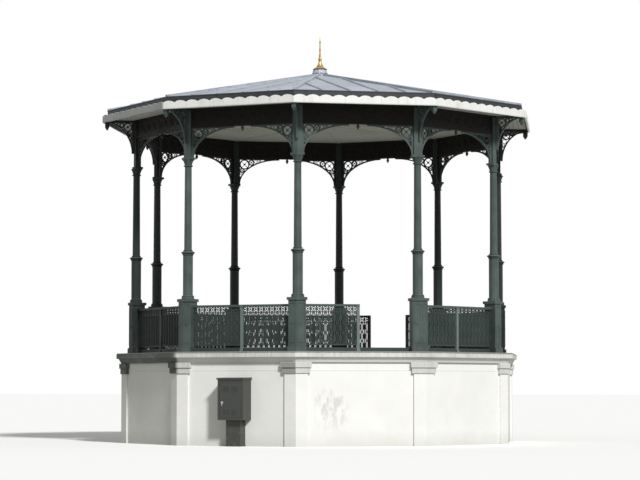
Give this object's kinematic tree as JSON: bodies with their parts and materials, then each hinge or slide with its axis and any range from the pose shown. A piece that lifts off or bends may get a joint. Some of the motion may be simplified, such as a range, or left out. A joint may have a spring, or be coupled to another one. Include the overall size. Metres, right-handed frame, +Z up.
{
  "type": "ten-sided park bandstand on a podium",
  "caption": "Open bandstand: a plastered podium carries slender iron columns, railings, arched beams and a low zinc roof with a scalloped eave and a spike.",
  "frame": {"origin": "on the bandstand's vertical axis at ground level, the middle of the podium's base", "axes": "+Z up; +Y from the middle towards the entrance bay at the back, so the bay with the cabinet faces -Y; +X to the right seen from the front, through a corner of the ring"},
  "size_m": [9.9988, 9.5106, 9.2754],
  "materials": {
    "wall_plaster": "painted lime plaster with faint stains",
    "slab_stone": "weathered painted concrete",
    "iron_paint": "dark grey-green oil paint on cast iron",
    "frieze_paint": "near-black brown painted timber",
    "ceiling_paint": "grey painted boards",
    "eave_white": "white painted board",
    "roof_zinc": "weathered zinc sheet",
    "spike_gilt": "dull gilded metal",
    "cabinet_paint": "dark grey powder coat"
  },
  "bodies": {
    "root": {"arch_1": "iron_paint", "arch_10": "iron_paint", "arch_2": "iron_paint", "arch_3": "iron_paint", "arch_4": "iron_paint", "arch_5": "iron_paint", "arch_6": "iron_paint", "arch_7": "iron_paint", "arch_8": "iron_paint", "arch_9": "iron_paint", "arch_drops": "iron_paint", "beams": "frieze_paint", "cabinet": "cabinet_paint", "cabinet_stand": "cabinet_paint", "ceiling": "ceiling_paint", "column_1": "iron_paint", "column_10": "iron_paint", "column_2": "iron_paint", "column_3": "iron_paint", "column_4": "iron_paint", "column_5": "iron_paint", "column_6": "iron_paint", "column_7": "iron_paint", "column_8": "iron_paint", "column_9": "iron_paint", "eave_boards": "eave_white", "eave_brackets": "iron_paint", "entrance_railings": "iron_paint", "floor_slab": "slab_stone", "hip_rolls": "roof_zinc", "pilaster_caps": "slab_stone", "podium_pilasters": "wall_plaster", "podium_walls": "wall_plaster", "railing_1": "iron_paint", "railing_10": "iron_paint", "railing_2_left": "iron_paint", "railing_3": "iron_paint", "railing_4": "iron_paint", "railing_5": "iron_paint", "railing_7": "iron_paint", "railing_8": "iron_paint", "railing_9": "iron_paint", "roof_cap": "roof_zinc", "roof_covering": "roof_zinc", "spike": "spike_gilt"}
  },
  "joints": []
}
